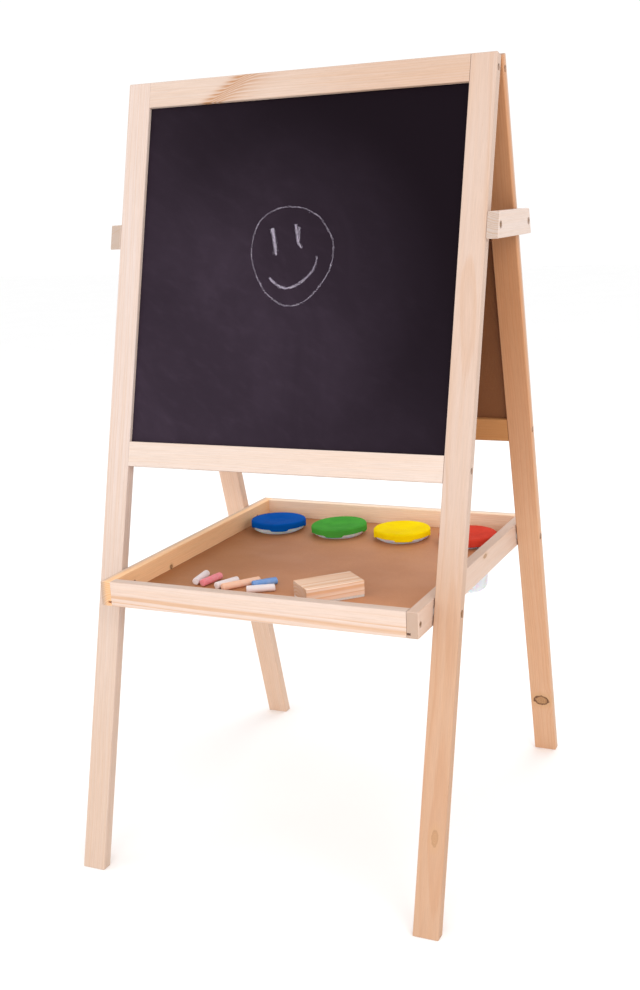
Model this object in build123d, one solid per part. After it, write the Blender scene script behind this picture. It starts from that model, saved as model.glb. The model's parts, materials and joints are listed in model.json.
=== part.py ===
from build123d import *
from math import cos, radians, sin, tan
import os

os.makedirs("parts", exist_ok=True)

# A child's double-sided easel. X runs across it, with +X on the right of someone who faces the
# chalkboard, Y runs from the chalkboard side (front) to the whiteboard side, and +Z is up.
# The origin is on the floor, midway between the four feet. All sizes are millimetres.

# Driving dimensions: the two leaning frames
frame_width = 570.0
leg_length = 1182.0
lean = 15.0
stock_width = 37.0
stock_thickness = 17.0
opening_height = 496.0
edge_radius = 1.5
foot_edge = 1.0

# Boards, each in a groove at the middle of the frame's thickness
board_thickness = 4.0
board_groove_depth = 6.0
groove_clearance = 0.2
groove_end_clearance = 0.5

# Screws that pull the legs onto the rails
frame_screw_radius = 2.25
frame_screw_length = 62.0
frame_screw_head_radius = 4.0
frame_screw_head_height = 3.2
frame_screw_recess = 9.0
recess_clearance = 0.5
shank_clearance = 0.05

# Butt hinges between the top rails
hinge_spacing = 280.0
hinge_width = 50.0
hinge_leaf_height = 27.0
hinge_leaf_thickness = 1.2
hinge_axis_gap = 2.5
hinge_axis_drop = 3.0
knuckle_radius = 2.2
knuckle_gap = 0.3
knuckle_notch = 2.6
hinge_pin_radius = 1.1
pin_clearance = 0.05
hinge_screw_radius = 1.7
hinge_screw_head_radius = 2.9
hinge_screw_length = 13.0
hinge_screw_inset = 9.0
hinge_screw_row = 10.0
hinge_screw_row_step = 9.0
hinge_screw_slot_width = 0.8
hinge_screw_slot_depth = 0.5

# Braces that hold the two frames at their lean. Their underside is brace_drop below the hinge pins.
brace_height = 35.0
brace_thickness = 17.0
brace_drop = 229.78
brace_side_gap = 0.3

# Bolts that join braces and tray to the legs
bolt_radius = 3.0
bolt_clearance = 0.06
bolt_head_radius = 5.0
bolt_head_height = 4.0
bolt_recess = 6.0
brace_bolt_grip = 28.0
open_end_gap = 0.3
tray_bolt_setback = 1.5
socket_across = 4.0
socket_depth = 2.4

# Tray between the legs. Its rails' tops are tray_gap below the boards' bottom rails.
tray_gap = 150.15
tray_depth = 532.0
tray_rail_height = 37.0
tray_rail_thickness = 17.0
tray_side_gap = 1.5
washer_thickness = 1.2
washer_radius = 8.0
tray_panel_thickness = 3.0
tray_panel_height = 6.0
tray_groove_depth = 6.0
tray_screw_radius = 2.0
tray_screw_length = 40.0
tray_screw_head_radius = 3.8
tray_screw_head_height = 2.6
tray_screw_recess = 4.0

# Paint pots, standing on their seats in round holes near the tray's rear rail
pot_spacing = 114.8
pot_from_rear_rail = 77.8
pot_hole_clearance = 1.5
pot_mouth_radius = 33.5
pot_base_radius = 31.0
pot_depth = 80.0
pot_base_rounding = 14.0
pot_wall = 2.0
seat_radius = 38.0
seat_height = 4.2
collar_radius = 44.5
collar_height = 9.8
lid_radius = 47.4
lid_height = 3.5
lid_skirt_wall = 1.8
lid_skirt_drop = 5.8
lid_roof = 2.0
lid_flat_rim = 5.0
lid_dish_radius = 16.0
lid_dish_depth = 3.0
lid_tab_half_angle = 19.0
lid_tab_count = 4
lid_tab_drop = 9.3
lid_edge_radius = 2.4

# Loose things on the tray
chalk_radius = 5.0
chalk_tip_radius = 4.6
chalk_lift = 0.3
chalk_edge = 0.6
eraser_length = 90.0
eraser_width = 52.0
eraser_wood_height = 21.0
eraser_felt_height = 4.0
eraser_felt_inset = 0.6
eraser_centre = (69.0, -154.0)
eraser_turn = 46.5
eraser_edge = 1.5

# Each stick: centre X, centre Y, turn from +X in degrees, length
chalk_sticks = {
    "chalk_white_short": (-150.8, -140.1, 96.5, 43.5),
    "chalk_pink": (-130.4, -143.6, 80.0, 43.5),
    "chalk_white_middle": (-99.0, -152.6, 67.0, 41.0),
    "chalk_orange": (-76.6, -149.6, 53.5, 62.5),
    "chalk_blue": (-44.4, -135.0, 49.0, 39.0),
    "chalk_white_long": (-36.7, -162.8, 31.0, 42.0),
}

# Each pot's colour, and how far its lid has been turned
pot_lid_turns = {"blue": 27.0, "green": 12.0, "yellow": 24.0, "red": 30.0}

# Worked-out values shared by several pieces
lean_sin, lean_cos, lean_tan = sin(radians(lean)), cos(radians(lean)), tan(radians(lean))
half_width = frame_width / 2
leg_inner_x = half_width - stock_width
mid_depth = stock_thickness / 2
top_rail_s = leg_length - stock_width
opening_bottom_s = top_rail_s - opening_height
bottom_rail_s = opening_bottom_s - stock_width
hinge_axis_s = leg_length - hinge_axis_drop
hinge_axis_depth = stock_thickness + hinge_axis_gap
foot_reach = hinge_axis_s * lean_sin + hinge_axis_depth * lean_cos
hinge_axis_z = hinge_axis_s * lean_cos - hinge_axis_depth * lean_sin
rail_mid_s = (top_rail_s + stock_width / 2, bottom_rail_s + stock_width / 2)
brace_bottom_z = hinge_axis_z - brace_drop
brace_mid_z = brace_bottom_z + brace_height / 2
tray_bottom_z = bottom_rail_s * lean_cos - tray_gap - tray_rail_height
tray_mid_z = tray_bottom_z + tray_rail_height / 2
tray_side_x = leg_inner_x - tray_side_gap
tray_inner_x = tray_side_x - tray_rail_thickness
tray_inner_y = tray_depth / 2 - tray_rail_thickness
panel_bottom_z = tray_bottom_z + tray_panel_height - tray_panel_thickness / 2
panel_top_z = panel_bottom_z + tray_panel_thickness
pot_y = tray_inner_y - pot_from_rear_rail
pot_count = len(pot_lid_turns)
pot_x = [(i - (pot_count - 1) / 2) * pot_spacing for i in range(pot_count)]
collar_top = seat_height + collar_height
eraser_height = eraser_wood_height + eraser_felt_height

# A frame is drawn flat: X across it, Y into its thickness from the outer face, Z (s) up the leg.
front_place = Pos(0, -foot_reach, 0) * Rot(-lean, 0, 0)
rear_place = Rot(0, 0, 180) * front_place


def slope_at(z):
    """Distance up the leg at which its middle line is at height z."""
    return (z + mid_depth * lean_sin) / lean_cos


def block(x0, x1, y0, y1, z0, z1):
    middle = Pos((x0 + x1) / 2, (y0 + y1) / 2, (z0 + z1) / 2)
    return middle * Box(abs(x1 - x0), abs(y1 - y0), abs(z1 - z0))


def rod_x(radius, x0, x1, y, z):
    return Pos((x0 + x1) / 2, y, z) * Rot(0, 90, 0) * Cylinder(radius, abs(x1 - x0))


def rod_y(radius, y0, y1, x, z):
    return Pos(x, (y0 + y1) / 2, z) * Rot(90, 0, 0) * Cylinder(radius, abs(y1 - y0))


def eased(shape, edges, radius):
    return fillet(edges, radius) if edges else shape


def socket_screw(head_radius, head_height, shank_radius, length):
    """Screw along X. Its head's outer face is at X 0 and its shank runs towards -X."""
    shank = rod_x(shank_radius, -head_height, -head_height - length, 0, 0)
    head = rod_x(head_radius, -head_height, 0, 0, 0)
    socket = Rot(0, 90, 0) * extrude(RegularPolygon(socket_across / 2, 6), -socket_depth)
    return shank + head - socket


def turned_to(side, shape):
    """Turn a screw drawn for the right-hand side to face outwards on the given side."""
    return shape if side > 0 else Rot(0, 0, 180) * shape


# ---- the two frames -------------------------------------------------------------------------

def recess_cut(side, s, screw_radius, head_radius, recess):
    """Stepped hole across a leg: a recess for the head at the outer side, then the shank hole."""
    outer = side * half_width
    hole = rod_x(screw_radius, side * leg_inner_x, outer, mid_depth, s)
    return hole + rod_x(head_radius + recess_clearance, outer - side * recess, outer, mid_depth, s)


def board_groove(x0, x1, s0, s1):
    half = board_thickness / 2 + groove_clearance
    return block(x0, x1, mid_depth - half, mid_depth + half, s0, s1)


def leg(side, place):
    outer, inner = side * half_width, side * leg_inner_x
    bar = block(inner, outer, 0, stock_thickness, 0, leg_length)
    bar = eased(bar, bar.edges().filter_by(Axis.Z), edge_radius)
    bar = eased(bar, bar.faces().sort_by(Axis.Z)[-1].edges(), edge_radius)
    groove_end = inner + side * board_groove_depth
    bar -= board_groove(
        inner, groove_end, opening_bottom_s - board_groove_depth, top_rail_s + board_groove_depth
    )
    for s in rail_mid_s:
        bar -= recess_cut(
            side, s, frame_screw_radius + shank_clearance, frame_screw_head_radius, frame_screw_recess
        )
    bolt_hole = bolt_radius + bolt_clearance
    bar -= recess_cut(side, slope_at(tray_mid_z), bolt_hole, bolt_head_radius, bolt_recess)
    bar -= rod_x(bolt_hole, outer, outer - side * brace_bolt_grip, mid_depth, slope_at(brace_mid_z))
    bar = place * bar
    below_floor = block(-frame_width, frame_width, -leg_length, leg_length, -leg_length, 0)
    bar -= below_floor
    return eased(bar, bar.faces().sort_by(Axis.Z)[0].outer_wire().edges(), foot_edge)


def frame_screw_holes(bar, s):
    for side in (-1, 1):
        tip = side * (half_width - frame_screw_recess - frame_screw_length)
        bar -= rod_x(frame_screw_radius + shank_clearance, side * leg_inner_x, tip, mid_depth, s)
    return bar


def rail(s0, groove_s):
    bar = block(-leg_inner_x, leg_inner_x, 0, stock_thickness, s0, s0 + stock_width)
    bar = eased(bar, bar.edges().filter_by(Axis.X), edge_radius)
    bar -= board_groove(-leg_inner_x, leg_inner_x, groove_s, groove_s + board_groove_depth)
    return frame_screw_holes(bar, s0 + stock_width / 2)


def top_rail(place):
    bar = rail(top_rail_s, top_rail_s)
    for x in (-hinge_spacing / 2, hinge_spacing / 2):
        for dx, s in hinge_screw_points():
            tip = stock_thickness - hinge_screw_length + hinge_leaf_thickness
            pilot = hinge_screw_radius + shank_clearance
            bar -= rod_y(pilot, tip, stock_thickness, x + dx, s)
    return place * bar


def bottom_rail(place):
    return place * rail(bottom_rail_s, opening_bottom_s - board_groove_depth)


def board(place):
    reach = board_groove_depth - groove_end_clearance
    y0, y1 = mid_depth - board_thickness / 2, mid_depth + board_thickness / 2
    x = leg_inner_x + reach
    return place * block(-x, x, y0, y1, opening_bottom_s - reach, top_rail_s + reach)


def frame_screws(place):
    screw = socket_screw(
        frame_screw_head_radius, frame_screw_head_height, frame_screw_radius,
        frame_screw_length - frame_screw_head_height,
    )
    seat = half_width - frame_screw_recess + frame_screw_head_height
    return [
        place * Pos(side * seat, mid_depth, s) * turned_to(side, screw)
        for side in (-1, 1)
        for s in rail_mid_s
    ]


# ---- the top hinges -------------------------------------------------------------------------

def hinge_screw_points():
    """Two screws near the leaf's sides and one low in its middle, as (x, s) from the hinge's centre."""
    side = hinge_width / 2 - hinge_screw_inset
    upper = hinge_axis_s - hinge_screw_row
    return [(-side, upper), (side, upper), (0, upper - hinge_screw_row_step)]


def hinge_screw():
    """Countersunk wood screw along Y. Its flat head is at Y 0 and its tip is towards -Y."""
    head = Rot(-90, 0, 0) * Cone(hinge_screw_radius, hinge_screw_head_radius, hinge_leaf_thickness)
    head = Pos(0, -hinge_leaf_thickness / 2, 0) * head
    body = head + rod_y(hinge_screw_radius, -hinge_screw_length, -hinge_leaf_thickness, 0, 0)
    half = hinge_screw_slot_width / 2
    slot_reach = hinge_screw_head_radius
    return body - block(-slot_reach, slot_reach, -hinge_screw_slot_depth, 0, -half, half)


def hinge_screws(place):
    face = stock_thickness + hinge_leaf_thickness
    return [
        place * Pos(x + dx, face, s) * hinge_screw()
        for x in (-hinge_spacing / 2, hinge_spacing / 2)
        for dx, s in hinge_screw_points()
    ]


def knuckle_spans():
    """Three knuckles along the pin: the outer two are the front leaf's, the middle one the rear's."""
    third = hinge_width / 3
    ends = [-hinge_width / 2 + i * third for i in range(4)]
    return [(ends[i] + (i > 0) * knuckle_gap, ends[i + 1]) for i in range(3)]


def hinge_leaf(x, spans, place):
    y0, y1 = stock_thickness, stock_thickness + hinge_leaf_thickness
    half = hinge_width / 2
    notch_s = hinge_axis_s - knuckle_notch
    leaf = block(-half, half, y0, y1, hinge_axis_s - hinge_leaf_height, notch_s)
    for start, end in spans:
        leaf += block(start, end, y0, y1, notch_s, hinge_axis_s)
        leaf += rod_x(knuckle_radius, start, end, hinge_axis_depth, hinge_axis_s)
    leaf -= rod_x(hinge_pin_radius + pin_clearance, -half, half, hinge_axis_depth, hinge_axis_s)
    for dx, s in hinge_screw_points():
        cone = Rot(-90, 0, 0) * Cone(
            hinge_screw_radius + shank_clearance,
            hinge_screw_head_radius + shank_clearance,
            hinge_leaf_thickness,
        )
        leaf -= Pos(dx, (y0 + y1) / 2, s) * cone
    return place * Pos(x, 0, 0) * leaf


def hinge_pin(x):
    half = hinge_width / 2
    return front_place * Pos(x, 0, 0) * rod_x(
        hinge_pin_radius, -half, half, hinge_axis_depth, hinge_axis_s
    )


# ---- braces ---------------------------------------------------------------------------------

def leg_axis_y(z):
    """Y of the front leg's middle line at height z. The rear leg's is the same, reversed."""
    return -foot_reach + slope_at(z) * lean_sin + mid_depth * lean_cos


def brace(side):
    """Block across both legs, its sloping ends flush with the frames' outer faces."""
    z0, z1 = brace_bottom_z, brace_bottom_z + brace_height
    y0, y1 = foot_reach - z0 * lean_tan, foot_reach - z1 * lean_tan
    outline = Polyline((-y0, z0), (y0, z0), (y1, z1), (-y1, z1), close=True)
    inner = side * (half_width + brace_side_gap)
    outer = inner + side * brace_thickness
    bar = Pos(inner, 0, 0) * extrude(Plane.YZ * make_face(outline), side * brace_thickness)
    bar = eased(bar, bar.edges(), edge_radius)
    for y in (leg_axis_y(brace_mid_z), -leg_axis_y(brace_mid_z)):
        bar -= rod_x(bolt_radius + bolt_clearance, inner, outer, y, brace_mid_z)
        head_space = bolt_head_radius + recess_clearance
        bar -= rod_x(head_space, outer, outer - side * bolt_recess, y, brace_mid_z)
    return bar


def brace_bolt(side, end, grip):
    """Bolt whose head sits in the brace. end is -1 at the front legs and 1 at the rear legs."""
    bolt = socket_screw(bolt_head_radius, bolt_head_height, bolt_radius, grip)
    seat = half_width + brace_side_gap + brace_thickness - bolt_recess + bolt_head_height
    y = -end * leg_axis_y(brace_mid_z)
    return Pos(side * seat, y, brace_mid_z) * turned_to(side, bolt)


# ---- tray -----------------------------------------------------------------------------------

def tray_groove(x0, x1, y0, y1):
    z0, z1 = panel_bottom_z - groove_clearance, panel_top_z + groove_clearance
    return block(x0, x1, y0, y1, z0, z1)


def tray_side_rail(side):
    outer, inner = side * tray_side_x, side * tray_inner_x
    half = tray_depth / 2
    bar = block(inner, outer, -half, half, tray_bottom_z, tray_bottom_z + tray_rail_height)
    bar = eased(bar, bar.edges(), edge_radius)
    bar -= tray_groove(inner, inner + side * tray_groove_depth, -half, half)
    for y in (leg_axis_y(tray_mid_z), -leg_axis_y(tray_mid_z)):
        bar -= rod_x(bolt_radius + bolt_clearance, inner, outer, y, tray_mid_z)
    for y in tray_screw_rows():
        bar -= rod_x(tray_screw_radius + shank_clearance, inner, outer, y, tray_mid_z)
        head_space = tray_screw_head_radius + recess_clearance
        bar -= rod_x(head_space, outer, outer - side * tray_screw_recess, y, tray_mid_z)
    return bar


def tray_screw_rows():
    y = tray_depth / 2 - tray_rail_thickness / 2
    return (-y, y)


def tray_cross_rail(end):
    """Rail between the side rails. end is -1 for the front rail and 1 for the rear rail."""
    outer, inner = end * tray_depth / 2, end * tray_inner_y
    top = tray_bottom_z + tray_rail_height
    bar = block(-tray_inner_x, tray_inner_x, inner, outer, tray_bottom_z, top)
    bar = eased(bar, bar.edges().filter_by(Axis.X), edge_radius)
    bar -= tray_groove(-tray_inner_x, tray_inner_x, inner, inner + end * tray_groove_depth)
    for side in (-1, 1):
        tip = side * (tray_side_x - tray_screw_recess - tray_screw_length)
        y = (inner + outer) / 2
        bar -= rod_x(tray_screw_radius + shank_clearance, side * tray_inner_x, tip, y, tray_mid_z)
    return bar


def tray_panel():
    reach = tray_groove_depth - groove_end_clearance
    x, y = tray_inner_x + reach, tray_inner_y + reach
    sheet = block(-x, x, -y, y, panel_bottom_z, panel_top_z)
    for px in pot_x:
        sheet -= Pos(px, pot_y, panel_top_z) * Cylinder(
            pot_mouth_radius + pot_hole_clearance, tray_rail_height
        )
    return sheet


def tray_screws():
    screw = socket_screw(
        tray_screw_head_radius, tray_screw_head_height, tray_screw_radius,
        tray_screw_length - tray_screw_head_height,
    )
    seat = tray_side_x - tray_screw_recess + tray_screw_head_height
    return [
        Pos(side * seat, y, tray_mid_z) * turned_to(side, screw)
        for side in (-1, 1)
        for y in tray_screw_rows()
    ]


def tray_bolts(end, tip_x):
    """Bolts through a pair of legs at tray height, heads in the legs, tips at tip_x."""
    seat = half_width - bolt_recess + bolt_head_height
    bolt = socket_screw(
        bolt_head_radius, bolt_head_height, bolt_radius, seat - bolt_head_height - tip_x
    )
    y = -end * leg_axis_y(tray_mid_z)
    return [Pos(side * seat, y, tray_mid_z) * turned_to(side, bolt) for side in (-1, 1)]


def tray_washers(end):
    y = -end * leg_axis_y(tray_mid_z)
    washers = []
    for side in (-1, 1):
        x0, x1 = side * (leg_inner_x - washer_thickness), side * leg_inner_x
        ring = rod_x(washer_radius, x0, x1, y, tray_mid_z)
        washers.append(ring - rod_x(bolt_radius + bolt_clearance, x0, x1, y, tray_mid_z))
    return washers


# ---- paint pots, drawn with their axis on Z and Z 0 at the tray panel's top ------------------

def turned(points):
    """Solid of revolution about Z of an outline given as (radius, z)."""
    outline = Polyline(*points, close=True)
    return revolve(Plane.XZ * make_face(outline), Axis.Z)


def rounded_base(solid, radius):
    base_edge = solid.edges().filter_by(GeomType.CIRCLE).sort_by(Axis.Z)[0]
    return fillet(base_edge, radius)


def pot_cup():
    """Tapered cup with a narrow seat that stands on the panel and a wider collar above it."""
    outside = turned([(0, -pot_depth), (pot_base_radius, -pot_depth), (pot_mouth_radius, 0), (0, 0)])
    outside = rounded_base(outside, pot_base_rounding)
    outside += Pos(0, 0, seat_height / 2) * Cylinder(seat_radius, seat_height)
    outside += Pos(0, 0, seat_height + collar_height / 2) * Cylinder(collar_radius, collar_height)
    floor_z, ledge_z = pot_wall - pot_depth, seat_height + pot_wall
    mouth, throat = pot_mouth_radius - pot_wall, seat_radius - pot_wall
    inside = turned(
        [(0, floor_z), (pot_base_radius - pot_wall, floor_z), (mouth, 0), (mouth, pot_wall),
         (throat, pot_wall), (throat, ledge_z), (0, ledge_z)]
    )
    inside = rounded_base(inside, pot_base_rounding - pot_wall)
    wide = Cylinder(collar_radius - pot_wall, collar_top - ledge_z)
    return outside - inside - Pos(0, 0, (collar_top + ledge_z) / 2) * wide


def pot_lid():
    """Shallow dished cap with a skirt round the pot's collar and tabs that come down lower."""
    bottom, top = collar_top, collar_top + lid_height
    rim, dish_z = lid_radius - lid_flat_rim, top - lid_dish_depth
    inner = lid_radius - lid_skirt_wall
    cap = turned(
        [(0, dish_z - lid_roof), (lid_dish_radius, dish_z - lid_roof), (rim, bottom + lid_roof),
         (rim, bottom), (inner, bottom), (inner, bottom - lid_skirt_drop),
         (lid_radius, bottom - lid_skirt_drop), (lid_radius, top), (rim, top),
         (lid_dish_radius, dish_z), (0, dish_z)]
    )
    outer_top = cap.edges().filter_by(GeomType.CIRCLE).filter_by(
        lambda e: e.radius > lid_radius - 1e-3 and e.center().Z > top - 1e-3
    )
    cap = fillet(outer_top, lid_edge_radius)
    tab_ring = turned([(inner, bottom - lid_tab_drop), (lid_radius, bottom - lid_tab_drop),
                       (lid_radius, bottom - lid_skirt_drop), (inner, bottom - lid_skirt_drop)])
    reach = lid_radius * 2
    spread = reach * tan(radians(lid_tab_half_angle))
    wedge = make_face(Polyline((0, 0), (spread, -reach), (-spread, -reach), close=True))
    wedge = extrude(wedge, top)
    for i in range(lid_tab_count):
        cap += tab_ring & (Rot(0, 0, i * 360 / lid_tab_count) * wedge)
    return cap


# ---- loose things ---------------------------------------------------------------------------

def chalk(x, y, turn, length):
    """Moulded chalk stick, a little thinner at one end, lying on the tray panel."""
    stick = Rot(0, 90, 0) * Cone(chalk_radius, chalk_tip_radius, length)
    stick = fillet(stick.edges().filter_by(GeomType.CIRCLE), chalk_edge)
    return Pos(x, y, panel_top_z + chalk_radius + chalk_lift) * Rot(0, 0, turn) * stick


def eraser_place():
    return Pos(eraser_centre[0], eraser_centre[1], panel_top_z) * Rot(0, 0, eraser_turn)


def eraser_block():
    x, y = eraser_length / 2, eraser_width / 2
    wood = block(-x, x, -y, y, eraser_felt_height, eraser_height)
    upper = wood.edges().filter_by(Axis.Z) + wood.faces().sort_by(Axis.Z)[-1].edges()
    return eraser_place() * fillet(upper, eraser_edge)


def eraser_felt():
    x, y = eraser_length / 2 - eraser_felt_inset, eraser_width / 2 - eraser_felt_inset
    felt = block(-x, x, -y, y, 0, eraser_felt_height)
    return eraser_place() * fillet(felt.edges().filter_by(Axis.Z), eraser_edge)


# ---- assembly -------------------------------------------------------------------------------

nodes = {}
for frame, place, left in (("front", front_place, -1), ("rear", rear_place, 1)):
    nodes[frame + "_left_leg"] = leg(left, place)
    nodes[frame + "_right_leg"] = leg(-left, place)
    nodes[frame + "_top_rail"] = top_rail(place)
    nodes[frame + "_bottom_rail"] = bottom_rail(place)
    nodes[frame + "_frame_screws"] = frame_screws(place)
    nodes[frame + "_hinge_screws"] = hinge_screws(place)
nodes["chalkboard_panel"] = board(front_place)
nodes["whiteboard_panel"] = board(rear_place)

spans = knuckle_spans()
for name, side in (("left", -1), ("right", 1)):
    hinge_x = side * hinge_spacing / 2
    nodes[name + "_hinge_front_leaf"] = hinge_leaf(hinge_x, [spans[0], spans[2]], front_place)
    rear_spans = [(-end, -start) for start, end in spans[1:2]]
    nodes[name + "_hinge_rear_leaf"] = hinge_leaf(-hinge_x, rear_spans, rear_place)
    nodes[name + "_hinge_pin"] = hinge_pin(hinge_x)
    nodes[name + "_brace"] = brace(side)
    in_brace = brace_thickness - bolt_recess
    nodes[name + "_brace_rear_bolt"] = brace_bolt(side, 1, in_brace - open_end_gap)
    nodes["tray_" + name + "_rail"] = tray_side_rail(side)
front_grip = brace_thickness - bolt_recess + brace_side_gap + brace_bolt_grip - shank_clearance
nodes["brace_front_bolts"] = [brace_bolt(side, -1, front_grip) for side in (-1, 1)]

nodes["tray_front_rail"] = tray_cross_rail(-1)
nodes["tray_rear_rail"] = tray_cross_rail(1)
nodes["tray_base_panel"] = tray_panel()
nodes["tray_corner_screws"] = tray_screws()
nodes["tray_front_bolts"] = tray_bolts(-1, tray_inner_x + tray_bolt_setback)
nodes["tray_rear_bolts"] = tray_bolts(1, leg_inner_x - washer_thickness)
nodes["tray_front_washers"] = tray_washers(-1)
nodes["tray_rear_washers"] = tray_washers(1)

for (colour, lid_turn), x in zip(pot_lid_turns.items(), pot_x):
    nodes[colour + "_pot_cup"] = Pos(x, pot_y, panel_top_z) * pot_cup()
    nodes[colour + "_pot_lid"] = Pos(x, pot_y, panel_top_z) * Rot(0, 0, lid_turn) * pot_lid()
for name, (x, y, turn, length) in chalk_sticks.items():
    nodes[name] = chalk(x, y, turn, length)
nodes["eraser_block"] = eraser_block()
nodes["eraser_felt"] = eraser_felt()

for name, shape in nodes.items():
    solids = shape if isinstance(shape, list) else [shape]
    children = [solid for piece in solids for solid in piece.solids()]
    export_step(Compound(children=children, label=name), os.path.join("parts", name + ".step"))
print("nodes", len(nodes), "foot reach", round(foot_reach, 2))
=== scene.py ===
import json
import math
import random

import bmesh
import bpy
from mathutils import Matrix, Vector, noise


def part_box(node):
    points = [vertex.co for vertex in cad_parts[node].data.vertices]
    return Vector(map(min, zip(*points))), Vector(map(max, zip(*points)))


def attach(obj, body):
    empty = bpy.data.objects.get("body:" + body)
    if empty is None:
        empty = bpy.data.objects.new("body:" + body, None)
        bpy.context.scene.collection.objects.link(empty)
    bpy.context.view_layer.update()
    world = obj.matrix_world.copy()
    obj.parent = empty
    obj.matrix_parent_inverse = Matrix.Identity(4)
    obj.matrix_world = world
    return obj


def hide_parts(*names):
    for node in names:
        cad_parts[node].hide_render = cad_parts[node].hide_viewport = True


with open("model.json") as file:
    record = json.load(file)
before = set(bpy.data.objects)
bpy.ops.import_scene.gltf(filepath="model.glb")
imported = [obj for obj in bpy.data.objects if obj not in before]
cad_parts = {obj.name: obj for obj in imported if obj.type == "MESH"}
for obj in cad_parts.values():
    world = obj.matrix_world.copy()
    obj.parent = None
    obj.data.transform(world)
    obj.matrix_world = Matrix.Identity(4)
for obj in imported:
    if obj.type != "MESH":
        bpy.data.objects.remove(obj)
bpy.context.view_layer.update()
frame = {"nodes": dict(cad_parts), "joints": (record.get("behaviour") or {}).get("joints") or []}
nodes = frame["nodes"]

# Directions of the two leaning frames. Each is drawn from its outer face: up the leg, and inwards.
fold = next(j for j in frame["joints"] if j["name"] == "rear_fold")
lean = math.radians(fold["range_deg"][1]) / 2
X, Y, Z = Vector((1, 0, 0)), Vector((0, 1, 0)), Vector((0, 0, 1))
front_up = Vector((0, math.sin(lean), math.cos(lean)))
front_in = Vector((0, math.cos(lean), -math.sin(lean)))
rear_up = Vector((0, -math.sin(lean), math.cos(lean)))
rear_in = Vector((0, -math.cos(lean), -math.sin(lean)))


def centre_of(node):
    low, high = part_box(node)
    return (low + high) / 2


def size_of(node):
    low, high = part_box(node)
    return high - low


# ---- shader building ------------------------------------------------------------------------

class Shader:
    """A material with a Principled shader, and short calls that add the nodes feeding it."""

    def __init__(self, name):
        self.material = bpy.data.materials.new(name)
        self.material.use_nodes = True
        self.tree = self.material.node_tree
        self.tree.nodes.clear()
        self.bsdf = self.tree.nodes.new("ShaderNodeBsdfPrincipled")
        output = self.tree.nodes.new("ShaderNodeOutputMaterial")
        self.tree.links.new(self.bsdf.outputs[0], output.inputs["Surface"])
        self.coordinates = self.tree.nodes.new("ShaderNodeTexCoord")

    def put(self, socket, value):
        if isinstance(value, bpy.types.NodeSocket):
            self.tree.links.new(value, socket)
        else:
            socket.default_value = value

    def add(self, kind, values, **settings):
        node = self.tree.nodes.new("ShaderNode" + kind)
        for name, value in settings.items():
            setattr(node, name, value)
        for key, value in values.items():
            self.put(node.inputs[key], value)
        return node

    def math(self, operation, a, b=0.0):
        return self.add("Math", {0: a, 1: b}, operation=operation).outputs[0]

    def times(self, a, b):
        return self.math("MULTIPLY", a, b)

    def plus(self, a, b):
        return self.math("ADD", a, b)

    def vector(self, operation, a, b):
        node = self.add("VectorMath", {0: a, 1: b}, operation=operation)
        return node.outputs["Value" if operation == "DOT_PRODUCT" else "Vector"]

    def combine(self, x, y, z):
        return self.add("CombineXYZ", {0: x, 1: y, 2: z}).outputs[0]

    def place(self):
        return self.coordinates.outputs["Object"]

    def normal(self):
        return self.coordinates.outputs["Normal"]

    def noise(self, at, scale=1.0, detail=2.0, roughness=0.5, distortion=0.0):
        values = {"Vector": at, "Scale": scale, "Detail": detail, "Roughness": roughness,
                  "Distortion": distortion}
        return self.add("TexNoise", values).outputs["Fac"]

    def cells(self, at, scale):
        return self.add("TexVoronoi", {"Vector": at, "Scale": scale}).outputs[0]

    def span(self, value, low, high, out_low=0.0, out_high=1.0):
        """Smooth step of value from low to high."""
        values = {0: value, 1: low, 2: high, 3: out_low, 4: out_high}
        return self.add("MapRange", values, interpolation_type="SMOOTHSTEP").outputs[0]

    def ramp(self, factor, stops):
        node = self.add("ValToRGB", {0: factor})
        elements = node.color_ramp.elements
        while len(elements) < len(stops):
            elements.new(0.5)
        for element, (position, colour) in zip(elements, stops):
            element.position = position
            element.color = (*colour, 1.0)
        return node.outputs[0]

    def mix(self, factor, a, b, how="MIX"):
        node = self.tree.nodes.new("ShaderNodeMix")
        node.data_type, node.blend_type = "RGBA", how
        sockets = (node.inputs[0], node.inputs[6], node.inputs[7])
        for socket, value in zip(sockets, (factor, a, b)):
            if isinstance(value, tuple):
                value = (*value, 1.0)
            self.put(socket, value)
        return node.outputs[2]

    def bump(self, height, strength, distance):
        values = {"Height": height, "Strength": strength, "Distance": distance}
        self.put(self.bsdf.inputs["Normal"], self.add("Bump", values).outputs[0])

    def set(self, **values):
        """Sets sockets of the Principled shader, with _ standing for a space in the name."""
        for name, value in values.items():
            if isinstance(value, tuple) and len(value) == 3:
                value = (*value, 1.0)
            self.put(self.bsdf.inputs[name.replace("_", " ")], value)
        return self.material


def distance(shader, centre, direction):
    """How far a point of the surface lies from a centre along a direction, in metres."""
    away = shader.vector("SUBTRACT", shader.place(), tuple(centre))
    return shader.vector("DOT_PRODUCT", away, tuple(direction))


def axes(shader, centre, grain, across):
    """Coordinates in metres along a piece's grain, across it and through its thickness."""
    return [distance(shader, centre, d) for d in (grain, across, grain.cross(across))]


# ---- pine -----------------------------------------------------------------------------------

early_wood = (0.640, 0.530, 0.468)
late_wood = (0.560, 0.360, 0.235)
streak_wood = (0.600, 0.430, 0.310)
cloud_wood = (0.640, 0.470, 0.370)
resin_canal = (0.400, 0.220, 0.110)
knot_wood = (0.330, 0.160, 0.065)
knot_ring = (0.500, 0.290, 0.140)
knot_halo = (0.520, 0.290, 0.130)
knot_edge = (0.130, 0.052, 0.022)
feather_wood = (0.380, 0.160, 0.050)
# How far the rings wander off a true circle, slowly and in their fine ragged edge, in metres
ring_drift, ring_ragged = 0.011, 0.0006
# Where the tint of an outer face takes over from the inner one, from the piece's middle
outer_from, outer_to = -0.003, 0.0075
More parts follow.
